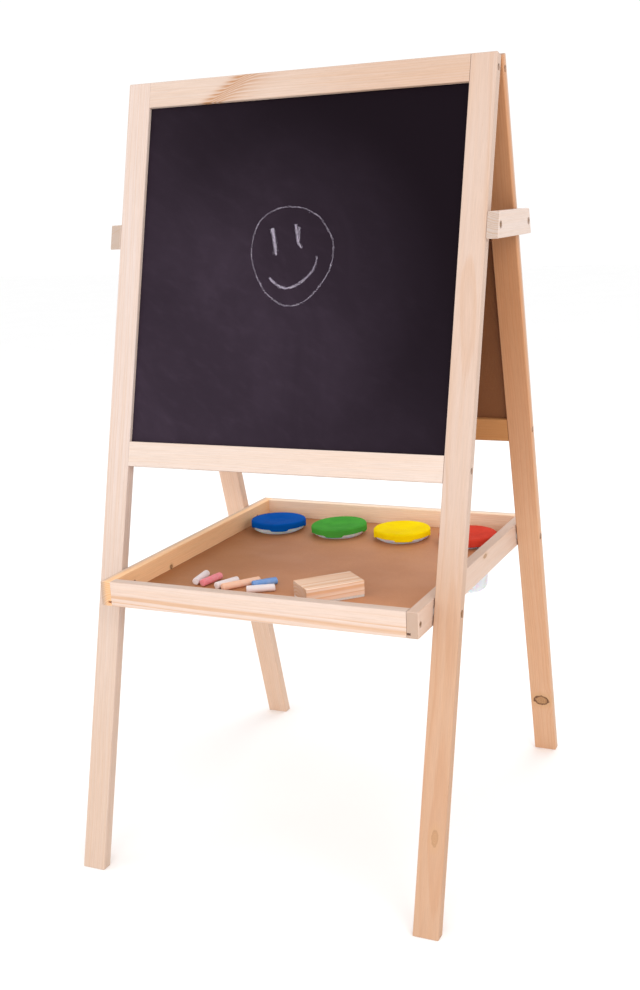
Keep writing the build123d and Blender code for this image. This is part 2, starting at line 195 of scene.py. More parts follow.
# How far a feather's streaks bow round the branch, and how ragged they are
feather_bow, feather_ragged = 0.016, 0.0024
# Keeps one piece's noise away from the next one's
seed_step = 3.7


def around(shader, u, v, knot, reach_u, reach_v):
    """Squared distance from a knot in units of its reach along and across the grain."""
    along = shader.math("DIVIDE", shader.math("SUBTRACT", u, knot["u"]), reach_u)
    side = shader.math("DIVIDE", shader.math("SUBTRACT", v, knot["v"]), reach_v)
    return shader.plus(shader.times(along, along), shader.times(side, side))


def feathered(s, u, v, ragged, feather):
    """How dark the swirl beside a pruned branch is: bent streaks that trail away to one side."""
    away = s.plus(s.plus(u, s.times(v, -feather["slope"])), -feather["u"])
    left = s.math("DIVIDE", s.math("MINIMUM", away, 0.0), feather["left"])
    right = s.math("DIVIDE", s.math("MAXIMUM", away, 0.0), feather["right"])
    spread = s.plus(s.times(left, left), s.times(right, right))
    hump = s.math("EXPONENT", s.times(s.times(right, right), -9.0))
    bent = s.plus(s.plus(v, s.times(hump, feather_bow)), s.times(ragged, feather_ragged))
    lines = s.math("FRACT", s.math("DIVIDE", bent, feather["pitch"]))
    lines = s.times(s.span(lines, 0.05, 0.75), s.span(lines, 1.0, 0.86))
    return s.times(s.math("EXPONENT", s.times(spread, -1.0)), s.plus(0.22, s.times(lines, 0.78)))


def pine(name, centre, grain, across, seed, pith, ring, contrast, slant=0.004,
         tint=(1.0, 1.0, 1.0), low=None, outer=None, plain=None, feather=None, knots=()):
    """Planed softwood. pith is where the tree's middle lies from the piece's, across and through.

    seed shifts the noise, so that no two pieces are alike. ring is the rings' spacing, contrast
    is how strongly they show, and slant is how much the grain runs off the piece's length.
    tint multiplies the colour. low is (u, u, tint): another tint holds below the first place
    along the grain and fades out by the second. outer is (direction, tint): the tint of the
    side that faces that way. plain is (v, v): between them the late wood's lines fade out.
    """
    s = Shader(name)
    u, v, w = axes(s, centre, grain, across)
    bent = v
    for knot in knots:
        pull = around(s, u, v, knot, knot["long"] * 2.6, knot["wide"] * 2.0)
        pull = s.math("EXPONENT", s.times(pull, -1.0))
        pull = s.times(pull, s.math("SUBTRACT", v, knot["v"]))
        bent = s.math("SUBTRACT", bent, s.times(pull, 0.85))

    # rings round the pith, wandering slowly along the grain
    drift = s.combine(s.plus(s.times(u, 3.2), seed), s.times(bent, 16), s.times(w, 16))
    drift = s.times(s.math("SUBTRACT", s.noise(drift, 1.0, 1.0), 0.5), ring_drift)
    from_pith = s.plus(s.plus(bent, s.times(u, slant)), -pith[0])
    deep = s.plus(w, -pith[1])
    radius = s.math("SQRT", s.plus(s.times(from_pith, from_pith), s.times(deep, deep)))
    radius = s.plus(radius, drift)
    ragged = s.noise(s.combine(s.times(u, 26), s.times(bent, 420), s.times(w, 420)), 1.0, 2.0)
    radius = s.plus(radius, s.times(s.math("SUBTRACT", ragged, 0.5), ring_ragged))
    uneven = s.noise(s.combine(s.times(radius, 150), seed, 0.0), 1.0, 0.0)
    phase = s.plus(s.math("DIVIDE", radius, ring), s.times(uneven, 1.6))
    phase = s.math("FRACT", phase)
    white, black = (1, 1, 1), (0, 0, 0)
    late = s.ramp(phase, [(0.0, black), (0.30, (0.06,) * 3), (0.62, (0.30,) * 3),
                          (0.86, white), (0.93, (0.85,) * 3), (1.0, black)])

    # fibres, resin canals and slow changes of tone
    fibres = s.noise(s.combine(s.times(u, 34), s.times(v, 1100), s.times(w, 1100)), 1.0, 3.0, 0.6)
    streaks = s.combine(s.plus(s.times(u, 5), seed), s.times(v, 150), s.times(w, 150))
    streaks = s.noise(streaks, 1.0, 2.0)
    cloud = s.combine(s.plus(s.times(u, 2.2), seed + 7), s.times(v, 22), s.times(w, 22))
    cloud = s.noise(cloud, 1.0, 2.0)
    canals = s.noise(s.combine(s.times(u, 90), s.times(v, 1500), s.times(w, 1500)), 1.0, 1.0)
    canals = s.span(canals, 0.70, 0.78)
    end_face = s.math("ABSOLUTE", s.vector("DOT_PRODUCT", s.normal(), tuple(grain)))
    end_face = s.span(end_face, 0.6, 0.95)

    strength = s.times(s.span(cloud, 0.25, 0.75, 0.55, 1.2), contrast)
    if plain:
        strength = s.times(strength, s.span(v, plain[1], plain[0], 0.22, 1.0))
    strength = s.plus(strength, s.times(end_face, 0.80))
    colour = s.mix(s.math("MINIMUM", s.times(late, strength), 1.0), early_wood, late_wood)
    colour = s.mix(s.span(streaks, 0.30, 0.75, 0.0, 0.30), colour, streak_wood)
    colour = s.mix(s.times(s.span(cloud, 0.35, 0.80), 0.22), colour, cloud_wood)
    shade = s.span(fibres, 0.25, 0.75, 0.93, 1.04)
    shade = s.math("SUBTRACT", shade, s.times(end_face, 0.28))
    colour = s.mix(1.0, colour, s.combine(shade, shade, shade), "MULTIPLY")
    colour = s.mix(s.times(canals, 0.30), colour, resin_canal)
    if low:
        tint = s.mix(s.span(u, low[0], low[1]), low[2], tint)
    if outer:
        outwards = distance(s, centre, outer[0])
        tint = s.mix(s.span(outwards, outer_from, outer_to), tint, outer[1])
    colour = s.mix(1.0, colour, tint, "MULTIPLY")

    if feather:
        colour = s.mix(s.times(feathered(s, u, v, ragged, feather), 0.85), colour, feather_wood)

    height = s.plus(s.times(fibres, 0.5), s.times(late, 0.6))
    for knot in knots:
        wobble = s.noise(s.combine(s.times(u, 240), s.times(v, 240), seed), 1.0, 1.0)
        wobble = s.plus(s.times(wobble, 0.5), -0.25)
        out = s.plus(s.math("SQRT", around(s, u, v, knot, knot["long"], knot["wide"])), wobble)
        halo = s.times(s.span(out, 2.6, 0.9), 0.55 * knot["dark"])
        colour = s.mix(halo, colour, knot_halo)
        rings = s.math("FRACT", s.times(out, 3.2))
        heart = s.mix(s.span(rings, 0.35, 0.9, 0.0, 0.6), knot_wood, knot_ring)
        colour = s.mix(s.times(s.span(out, 1.12, 0.92), 0.9 * knot["dark"]), colour, heart)
        rim = s.times(s.span(out, 0.74, 0.95), s.span(out, 1.20, 1.0))
        colour = s.mix(s.times(rim, knot["dark"] * knot["rim"]), colour, knot_edge)
        height = s.math("SUBTRACT", height, s.times(rim, 0.8))
    s.bump(height, 0.22, 0.00035)
    return s.set(Base_Color=colour, Roughness=s.span(late, 0.0, 1.0, 0.62, 0.50),
                 Specular_IOR_Level=0.32)


def knot_at(u, v, long, wide, dark, rim):
    """A knot at u along and v across from the piece's middle, with its half sizes, in millimetres.

    dark is how strongly it shows, and rim is how black its edge is, both from 0 to 1.
    """
    return {"u": u / 1000, "v": v / 1000, "long": long / 1000, "wide": wide / 1000,
            "dark": dark, "rim": rim}


def dress(node, material):
    nodes[node].data.materials.clear()
    nodes[node].data.materials.append(material)
    for slot in nodes[node].material_slots:
        slot.link = "OBJECT"
        slot.material = material


# Each bar: its grain, the direction across it, then what sets its own look. Distances in
# metres are from the bar's middle.
bars = {
    # Painted shade: the low tint darkens and warms the leg towards its foot
    "front_left_leg": (front_up, X, dict(
        pith=(-0.046, 0.030), ring=0.0036, slant=0.006, contrast=0.42,
        tint=(0.96, 0.95, 0.97), low=(-0.45, 0.10, (0.91, 0.84, 0.78)))),
    # Painted shade: the low tint darkens and warms the lower half of the leg
    "front_right_leg": (front_up, X, dict(
        pith=(0.004, 0.052), ring=0.0040, slant=0.010, contrast=0.40,
        tint=(0.87, 0.79, 0.74), low=(-0.22, 0.02, (0.81, 0.60, 0.44)),
        knots=[knot_at(-456, 4, 11, 4.5, 0.55, 0.25)])),
    "front_top_rail": (X, front_up, dict(
        pith=(0.034, 0.012), ring=0.0032, contrast=0.38,
        tint=(0.85, 0.73, 0.64), low=(-0.15, 0.15, (0.93, 0.89, 0.86)),
        feather=dict(u=-0.122, slope=1.5, left=0.012, right=0.052, pitch=0.0056))),
    "front_bottom_rail": (X, front_up, dict(pith=(-0.052, 0.010), ring=0.0028, contrast=0.30)),
    # Painted light: the tint lightens the whole leg where it lies in the boards' shade, less and
    # warmer towards its foot by the low tint
    "rear_left_leg": (rear_up, X, dict(
        pith=(0.050, -0.020), ring=0.0040, contrast=0.40,
        tint=(1.24, 1.08, 0.94), low=(-0.40, -0.12, (1.06, 0.93, 0.81)))),
    # Painted shade: the tint darkens and warms the leg's inner face under the chalkboard, less so
    # lower down by the low tint; the outer tint is the wood's own
    "rear_right_leg": (rear_up, X, dict(
        pith=(0.040, -0.030), ring=0.0038, contrast=0.50,
        tint=(0.87, 0.52, 0.29), low=(-0.22, 0.24, (0.95, 0.68, 0.47)),
        outer=(-rear_in, (0.97, 0.86, 0.76)), knots=[knot_at(-481, 0, 9, 12, 1.0, 1.0)])),
    "rear_top_rail": (X, rear_up, dict(pith=(0.045, 0.020), ring=0.0034, contrast=0.40)),
    # Painted shade: the tint darkens and warms the rail's inner face; the outer tint is the wood's
    # own
    "rear_bottom_rail": (X, rear_up, dict(
        pith=(-0.040, 0.020), ring=0.0030, contrast=0.45,
        tint=(0.78, 0.44, 0.18), outer=(-rear_in, (0.98, 0.92, 0.86)))),
    "left_brace": (Y, Z, dict(pith=(-0.030, 0.020), ring=0.0030, contrast=0.40)),
    # Painted light: the tint lightens the brace
    "right_brace": (Y, Z, dict(
        pith=(0.050, 0.010), ring=0.0030, contrast=0.30, tint=(1.05, 1.05, 1.07))),
    # Painted light and shade: the tint lightens and warms the rail's inner face inside the tray;
    # the outer tint is the wood's own
    "tray_left_rail": (Y, Z, dict(
        pith=(-0.034, 0.016), ring=0.0030, contrast=0.50,
        tint=(1.54, 1.20, 0.78), outer=(-X, (1.0, 0.92, 0.86)),
        knots=[knot_at(-97, -7.5, 3.2, 3, 1.0, 1.0)])),
    "tray_right_rail": (Y, Z, dict(
        pith=(-0.034, -0.030), ring=0.0026, contrast=0.35,
        tint=(1.02, 0.93, 0.87), knots=[knot_at(26, 13, 7, 2.6, 0.85, 0.7)])),
    "tray_front_rail": (X, Z, dict(
        pith=(0.050, 0.030), ring=0.0062, slant=0.016, contrast=1.7,
        plain=(-0.006, 0.001), tint=(1.01, 0.96, 0.93))),
    # Painted light: the tint lightens the rail's inner face inside the tray; the outer tint is the
    # wood's own
    "tray_rear_rail": (X, Z, dict(
        pith=(-0.048, 0.020), ring=0.0032, contrast=0.40,
        tint=(1.54, 1.46, 1.28), outer=(Y, (1.0, 0.95, 0.90)))),
}
for number, (node, (grain, across, look)) in enumerate(bars.items()):
    dress(node, pine("pine_" + node, centre_of(node), grain, across, number * seed_step, **look))


# ---- boards and panel -----------------------------------------------------------------------

# Spacing of the press screen's wires, and where the paint ends behind a board's middle plane
screen_pitch = 0.0022
paint_ends = (0.0006, 0.0010)
pale_fibre, brown_fibre = (0.418, 0.213, 0.121), (0.388, 0.192, 0.107)
dark_fleck, pale_strand = (0.230, 0.102, 0.050), (0.520, 0.310, 0.195)
board_back_tint = (0.42, 0.26, 0.08)
tray_left_tint, tray_right_tint = (0.95, 0.80, 0.55), (1.42, 1.26, 1.07)
tray_scuff, tray_underside = (0.62, 0.40, 0.27), (0.23, 0.11, 0.055)


def hardboard_colour(s, at, tint):
    """Pressed brown fibre: fine flecks and strands over soft clouds."""
    flecks = s.noise(at, 900.0, 3.0, 0.7)
    strands = s.noise(s.vector("MULTIPLY", at, (260.0, 900.0, 400.0)), 1.0, 2.0, 0.6)
    clouds = s.noise(at, 14.0, 3.0)
    colour = s.mix(s.span(clouds, 0.3, 0.7), pale_fibre, brown_fibre)
    colour = s.mix(s.times(s.span(flecks, 0.52, 0.72), 0.36), colour, dark_fleck)
    colour = s.mix(s.times(s.span(strands, 0.56, 0.74), 0.30), colour, pale_strand)
    return s.mix(1.0, colour, tint, "MULTIPLY")


def screen_side(s, u, v):
    """Height of the woven print that the press's wire screen leaves on hardboard's back."""
    turns = 2 * math.pi / screen_pitch
    warp = s.math("SINE", s.times(u, turns))
    weft = s.math("SINE", s.times(v, turns))
    return s.times(s.plus(warp, weft), 0.5)


def painted_board(name, node, up, inward, face):
    """A painted outer face on brown hardboard.

    face(shader, u, v) gives the paint's colour, roughness and height. The result is the shader,
    the whole board's colour and its roughness.
    """
    s = Shader(name)
    u, v = (distance(s, centre_of(node), direction) for direction in (X, up))
    behind = s.span(distance(s, centre_of(node), inward), *paint_ends)
    brown = hardboard_colour(s, s.place(), board_back_tint)
    paint, rough, paint_height = face(s, u, v)
    rough = s.add("MapRange", {0: behind, 3: rough, 4: 0.62}).outputs[0]
    height = s.plus(s.times(screen_side(s, u, v), behind),
                    s.times(paint_height, s.math("SUBTRACT", 1.0, behind)))
    s.bump(height, 0.25, 0.0004)
    return s, s.mix(behind, paint, brown), rough


# The black paint, and the colour of its chalk powder, which also colours the board's painted sheen
board_paint, chalk_dust_and_sheen = (0.0046, 0.0014, 0.0040), (0.80, 0.56, 0.84)
lacquer, marker_haze = (0.86, 0.86, 0.85), (0.70, 0.71, 0.76)


def chalk_face(s, u, v):
    """Matt black paint with wiped chalk powder round the middle, and a painted sheen in the same
    colour that lightens it towards the lower left.
    """
    wiped = s.combine(s.plus(s.times(u, 7), s.times(v, 3)), s.times(v, 5), 0.0)
    wiped = s.noise(wiped, 1.0, 4.0, 0.62, 0.8)
    swirl = s.combine(s.times(u, 30), s.plus(s.times(v, 60), s.times(u, 26)), 2.0)
    swirl = s.noise(swirl, 1.0, 3.0, 0.6)
    grit = s.noise(s.combine(u, v, 0.0), 1400.0, 2.0, 0.6)
    # Painted sheen: the board lightens towards the lower left, standing in for light reflected off
    # the paint
    sheen_low_left = s.plus(s.times(u, -1.1), s.times(v, -1.0))
    middle = s.plus(s.times(u, u), s.times(v, v))
    # Painted sheen towards the lower left, plus chalk powder round the middle
    dust_and_sheen = s.plus(s.span(sheen_low_left, -0.34, 0.62, 0.0, 0.040),
                  s.span(middle, 0.055, 0.0, 0.0, 0.012))
    smears = s.plus(s.span(wiped, 0.35, 0.75, 0.75, 1.15), s.span(swirl, 0.45, 0.8, 0.0, 0.20))
    dust_and_sheen = s.times(s.times(dust_and_sheen, smears), s.span(grit, 0.3, 0.7, 0.75, 1.2))
    colour = s.mix(dust_and_sheen, board_paint, chalk_dust_and_sheen)
    return colour, s.span(grit, 0.2, 0.8, 0.58, 0.72), s.times(grit, 0.25)


def white_face(s, u, v):
    """Glossy white lacquer with the faintest marker haze left by wiping."""
    haze = s.noise(s.combine(s.times(u, 9), s.times(v, 4), 5.0), 1.0, 3.0, 0.6, 0.6)
    peel = s.noise(s.combine(u, v, 0.0), 260.0, 1.0)
    colour = s.mix(s.times(s.span(haze, 0.45, 0.8), 0.16), lacquer, marker_haze)
    return colour, s.span(haze, 0.3, 0.8, 0.10, 0.22), s.times(peel, 0.10)


s, colour, rough = painted_board("chalkboard", "chalkboard_panel", front_up, front_in, chalk_face)
dress("chalkboard_panel", s.set(Base_Color=colour, Roughness=rough, Specular_IOR_Level=0.07))
s, colour, rough = painted_board("whiteboard", "whiteboard_panel", rear_up, rear_in, white_face)
dress("whiteboard_panel", s.set(Base_Color=colour, Roughness=rough, Specular_IOR_Level=0.5))


def tray_base():
    """Smooth brown hardboard above, paler to the right, and the screen's print below."""
    s = Shader("hardboard")
    u, v, up = axes(s, centre_of("tray_base_panel"), X, Y)
    below = s.span(up, 0.0, -0.0008)
    scuffs = s.noise(s.combine(s.times(u, 10), s.times(v, 16), 3.0), 1.0, 4.0, 0.6, 0.5)
    tint = s.mix(s.span(u, -0.24, 0.02), tray_left_tint, tray_right_tint)
    brown = hardboard_colour(s, s.place(), tint)
    colour = s.mix(s.times(s.span(scuffs, 0.5, 0.8), 0.07), brown, tray_scuff)
    colour = s.mix(s.times(below, 0.5), colour, tray_underside)
    height = s.plus(s.times(screen_side(s, u, v), below), s.noise(s.place(), 700.0, 2.0))
    s.bump(height, 0.14, 0.0004)
    return s.set(Base_Color=colour, Roughness=s.span(scuffs, 0.3, 0.8, 0.48, 0.62),
                 Specular_IOR_Level=0.15)


dress("tray_base_panel", tray_base())


# ---- metal, plastic, chalk, felt ------------------------------------------------------------

def zinc():
    """Bright zinc plate with a faint crystal pattern and drawn scratches."""
    s = Shader("zinc_steel")
    spangle = s.cells(s.place(), 700.0)
    scratch = s.noise(s.vector("MULTIPLY", s.place(), (900.0, 3000.0, 3000.0)), 1.0, 2.0)
    colour = s.mix(s.span(spangle, 0.1, 0.7), (0.60, 0.60, 0.59), (0.50, 0.505, 0.51))
    colour = s.mix(s.times(s.span(scratch, 0.6, 0.8), 0.5), colour, (0.72, 0.71, 0.69))
    s.bump(s.plus(scratch, s.times(spangle, 0.5)), 0.15, 0.0002)
    return s.set(Base_Color=colour, Metallic=1.0, Roughness=s.span(scratch, 0.2, 0.8, 0.24, 0.42))


def passivated():
    """Yellow-passivated steel of the screws and bolts: warm, mottled, with darker wear marks."""
    s = Shader("passivated_steel")
    mottle = s.noise(s.place(), 420.0, 3.0, 0.6)
    scratch = s.noise(s.vector("MULTIPLY", s.place(), (2600.0, 900.0, 2600.0)), 1.0, 2.0)
    colour = s.mix(s.span(mottle, 0.3, 0.7), (0.46, 0.27, 0.12), (0.34, 0.18, 0.075))
    colour = s.mix(s.times(s.span(scratch, 0.6, 0.8), 0.4), colour, (0.60, 0.42, 0.24))
    s.bump(s.plus(scratch, mottle), 0.15, 0.0002)
    return s.set(Base_Color=colour, Metallic=0.85, Roughness=s.span(scratch, 0.2, 0.8, 0.42, 0.60))


steel, screw_steel = zinc(), passivated()
for node in nodes:
    if "screws" in node or "bolt" in node:
        dress(node, screw_steel)
    elif "hinge" in node or "washers" in node:
        dress(node, steel)


def moulded(name, colour, deep):
    """Moulded plastic: slight orange peel, soft flow marks and tiny scuffs."""
    s = Shader(name)
    peel = s.noise(s.place(), 900.0, 2.0)
    flow = s.noise(s.place(), 34.0, 2.0, 0.5, 0.6)
    scuff = s.noise(s.vector("MULTIPLY", s.place(), (500.0, 160.0, 500.0)), 1.0, 3.0, 0.7)
    tinted = s.mix(s.span(flow, 0.3, 0.7), colour, deep)
    tinted = s.mix(s.times(s.span(scuff, 0.62, 0.8), 0.006), tinted, (0.9, 0.9, 0.9))
    s.bump(peel, 0.10, 0.00025)
    return s.set(Base_Color=tinted, Roughness=s.span(scuff, 0.3, 0.8, 0.48, 0.62),
                 Specular_IOR_Level=0.004)


lid_materials = {
    "blue": moulded("blue_plastic", (0.002, 0.084, 0.400), (0.002, 0.072, 0.350)),
    "green": moulded("green_plastic", (0.075, 0.370, 0.048), (0.060, 0.310, 0.042)),
    "yellow": moulded("yellow_plastic", (0.940, 0.700, 0.003), (0.880, 0.620, 0.003)),
    "red": moulded("red_plastic", (0.660, 0.060, 0.036), (0.560, 0.044, 0.027)),
}


def translucent():
    """Unpigmented plastic: milky, lets light through, with flow lines down the wall."""
    s = Shader("milky_plastic")
    flow = s.noise(s.vector("MULTIPLY", s.place(), (160.0, 160.0, 20.0)), 1.0, 2.0)
    peel = s.noise(s.place(), 700.0, 2.0)
    colour = s.mix(s.span(flow, 0.3, 0.7), (0.90, 0.85, 0.91), (0.84, 0.79, 0.86))
    s.bump(s.plus(peel, flow), 0.08, 0.0003)
    return s.set(Base_Color=colour, Roughness=s.span(flow, 0.3, 0.7, 0.36, 0.46),
                 Subsurface_Weight=0.6, Subsurface_Scale=0.006, Transmission_Weight=0.22, IOR=1.49)


cup_material = translucent()
for colour_name in lid_materials:
    dress(colour_name + "_pot_cup", cup_material)


def chalk_stick_material(name, colour):
    """Dry pressed powder: granular, with pits and paler rubbed patches."""
    s = Shader(name)
    grains = s.noise(s.place(), 2600.0, 3.0, 0.7)
    pits = s.cells(s.place(), 900.0)
    rubbed = s.noise(s.place(), 130.0, 3.0)
    pale = tuple(0.25 + 0.65 * c for c in colour)
    deep = tuple(0.80 * c for c in colour)
    tint = s.mix(s.span(rubbed, 0.35, 0.7, 0.0, 0.5), colour, pale)
    tint = s.mix(s.span(grains, 0.5, 0.8, 0.0, 0.5), tint, deep)
    s.bump(s.plus(s.times(grains, 0.6), s.span(pits, 0.0, 0.35)), 0.5, 0.0005)
    return s.set(Base_Color=tint, Roughness=s.span(grains, 0.2, 0.8, 0.88, 0.98),
                 Specular_IOR_Level=0.12)


chalk_materials = {
    "white": chalk_stick_material("chalk_white", (0.84, 0.75, 0.75)),
    "pink": chalk_stick_material("chalk_pink", (0.86, 0.25, 0.29)),
    "orange": chalk_stick_material("chalk_orange", (0.92, 0.55, 0.38)),
    "blue": chalk_stick_material("chalk_blue", (0.15, 0.32, 0.68)),
    "line": chalk_stick_material("chalk_line", (0.46, 0.40, 0.50)),
}


def felt_material():
    """Pressed felt: matted fibres with a soft sheen and a few paler tufts."""
    s = Shader("felt")
    fibre = s.noise(s.place(), 1500.0, 4.0, 0.75, 1.2)
    tufts = s.cells(s.place(), 520.0)
    colour = s.mix(s.span(fibre, 0.35, 0.7), (0.76, 0.74, 0.70), (0.58, 0.56, 0.53))
    colour = s.mix(s.span(tufts, 0.3, 0.8, 0.0, 0.35), colour, (0.88, 0.86, 0.83))
    s.bump(s.plus(fibre, tufts), 0.7, 0.0006)
    return s.set(Base_Color=colour, Roughness=s.span(fibre, 0.2, 0.8, 0.90, 1.0),
                 Sheen_Weight=0.4, Sheen_Roughness=0.5, Specular_IOR_Level=0.1)


# ---- making pieces --------------------------------------------------------------------------

def piece(name, bm, material, body, replaced=None, smooth=True):
    """Turns a bmesh into a shown piece that rides on a CAD body."""
    mesh = bpy.data.meshes.new(name)
    bmesh.ops.recalc_face_normals(bm, faces=bm.faces)
    for face in bm.faces:
        face.smooth = smooth
    bm.to_mesh(mesh)
    bm.free()
    made = bpy.data.objects.new(name, mesh)
    bpy.context.scene.collection.objects.link(made)
    made.data.materials.append(material)
    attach(made, body)
    if replaced:
        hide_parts(replaced)
    return made


def lathe(bm, profile, segments, bend):
    """Turns (radius, z) points about Z. bend(angle, z) gives the height of a point on its way."""
    rings = []
    for radius, z in profile:
        ring = []
        for k in range(segments):
            angle = 2 * math.pi * k / segments
            spot = (radius * math.cos(angle), radius * math.sin(angle), bend(angle, z))
            ring.append(ring[0] if ring and radius == 0 else bm.verts.new(spot))
        rings.append(ring)
    for a, b in zip(rings, rings[1:]):
        for k in range(segments):
            corner = [a[k], a[(k + 1) % segments], b[(k + 1) % segments], b[k]]
            unique = list(dict.fromkeys(corner))
            if len(unique) > 2:
                bm.faces.new(unique)


def arc(centre, radius, start, end, steps):
    """Points of a fillet in an outline, angles in degrees."""
    turns = [math.radians(start + (end - start) * i / steps) for i in range(steps + 1)]
    return [(centre[0] + radius * math.cos(t), centre[1] + radius * math.sin(t)) for t in turns]


# ---- paint pot lids -------------------------------------------------------------------------

# Each lid: its turn, its tilt, the side on which it rests low (all in degrees), and how far it
# is pressed down
lid_lie = {
    "blue": (27.0, 1.3, 70.0, 0.0),
    "green": (12.0, 1.9, 215.0, 0.0016),
    "yellow": (24.0, 0.3, 300.0, 0.0),
    "red": (30.0, 0.0, 0.0, 0.0),
}
lid_segments = 180
lid_wall, lid_roof, lid_rim_radius, lid_land_width = 0.0018, 0.0018, 0.0031, 0.0075
tab_half_angle, tab_slope, tab_spacing = (math.radians(a) for a in (15.0, 7.0, 90.0))
# The skirt's edge above the tabs' tips, how much of the tabs' drop stays between them, and the
# rounding of their edge
skirt_lift, skirt_share, edge_round, edge_chamfer = 0.0035, 0.1, 0.0006, 0.0002
# The dish, then the points of its wall: (out from the dish's radius, up from its floor)
dish_radius, dish_flat, dish_depth = 0.016, 0.0096, 0.0030
dish_wall = ((0.0, 0.0002), (0.0022, 0.0009), (0.0050, 0.0017))
brow_inset, brow_drop = 0.006, 0.0004
roof_ease, roof_ease_width = 0.0012, 0.004


def lid_outline(radius, top, seat):
    """The lid's section: over the top from its middle, down the outside, back up and in."""
    land, inner = radius - lid_land_width, radius - lid_wall
    floor_z = top - dish_depth
    roof_z = floor_z - lid_roof
    outline = [(0, floor_z), (dish_flat, floor_z)]
    outline += [(dish_radius + out, floor_z + rise) for out, rise in dish_wall]
    outline += [(land - brow_inset, top - brow_drop), (land, top)]
    outline += arc((radius - lid_rim_radius, top - lid_rim_radius), lid_rim_radius, 85, 0, 7)
    outline += [(radius, z) for z in ((seat + skirt_lift) / 2, skirt_lift + edge_round, skirt_lift)]
    outline += [(radius, skirt_lift / 2), (radius, edge_round)]
    outline += [(radius - edge_chamfer, edge_chamfer), (radius - edge_round, 0)]
    outline += [(inner + edge_round, 0), (inner + edge_chamfer, edge_chamfer)]
    outline += [(inner, z) for z in (edge_round, skirt_lift / 2, skirt_lift, seat)]
    outline += [(land, seat + roof_ease), (dish_radius + roof_ease_width, roof_z + roof_ease)]
    return outline + [(dish_radius, roof_z), (0, roof_z)]


def tab_hang(angle, z):
    """Below the skirt's edge only the tabs come down."""
    if z >= skirt_lift:
        return z
    from_tab = (angle + math.pi / 2) % tab_spacing
    from_tab = min(from_tab, tab_spacing - from_tab)
    down = 1 - min(1, max(0, (from_tab - tab_half_angle) / tab_slope))
    down = down * down * (3 - 2 * down)
    return skirt_lift + (z - skirt_lift) * max(down, skirt_share)


def lid(colour_name):
    """Dished cap with a rolled rim, a short skirt and four tabs that hang over the cup's collar."""
    node = colour_name + "_pot_lid"
    low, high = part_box(node)
    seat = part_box(colour_name + "_pot_cup")[1].z - low.z
    radius = (high.x - low.x) / 2
    turn, tilt, low_side, pressed = lid_lie[colour_name]
    bm = bmesh.new()
    lathe(bm, lid_outline(radius, high.z - low.z, seat), lid_segments, tab_hang)
    centre = Vector(((low.x + high.x) / 2, (low.y + high.y) / 2, low.z - pressed))
    low_side = math.radians(low_side)
    pivot = Vector((math.cos(low_side), math.sin(low_side), 0)) * radius + Z * seat
    tilting = Matrix.Rotation(math.radians(tilt), 4, Z.cross(pivot).normalized())
    move = Matrix.Translation(centre + pivot) @ tilting @ Matrix.Translation(-pivot)
    bm.transform(move @ Matrix.Rotation(math.radians(turn), 4, "Z"))
    piece(colour_name + "_lid_moulding", bm, lid_materials[colour_name], colour_name + "_lid",
          node)


for colour_name in lid_materials:
    lid(colour_name)


# ---- chalk ----------------------------------------------------------------------------------

def long_axis(node):
    """Direction and length of a long node in plan, from the spread of its mesh."""
    points = [v.co for v in nodes[node].data.vertices]
    middle = centre_of(node)
    sxx = sum((p.x - middle.x) ** 2 for p in points)
    syy = sum((p.y - middle.y) ** 2 for p in points)
    sxy = sum((p.x - middle.x) * (p.y - middle.y) for p in points)
    turn = 0.5 * math.atan2(2 * sxy, sxx - syy)
    direction = Vector((math.cos(turn), math.sin(turn), 0))
    along = [(p - middle).dot(direction) for p in points]
    return direction, max(along) - min(along)


# Rings along a stick and points in each, then its fullness over the CAD stick and its taper
stick_rings, stick_sides = 26, 28
stick_fullness, stick_taper = 1.12, 0.05
# How far from the end it rounds off, how rough its edge is, how far its ends bulge, and how far
# it lies above its CAD stick
end_round, end_chips, end_bulge, stick_lift = 0.0011, 0.0004, 0.0003, 0.0004
# Shares of its radius: how much it narrows at the very end, and its broad and fine dents
end_narrowing, broad_dents, fine_dents = 0.16, 0.028, 0.012


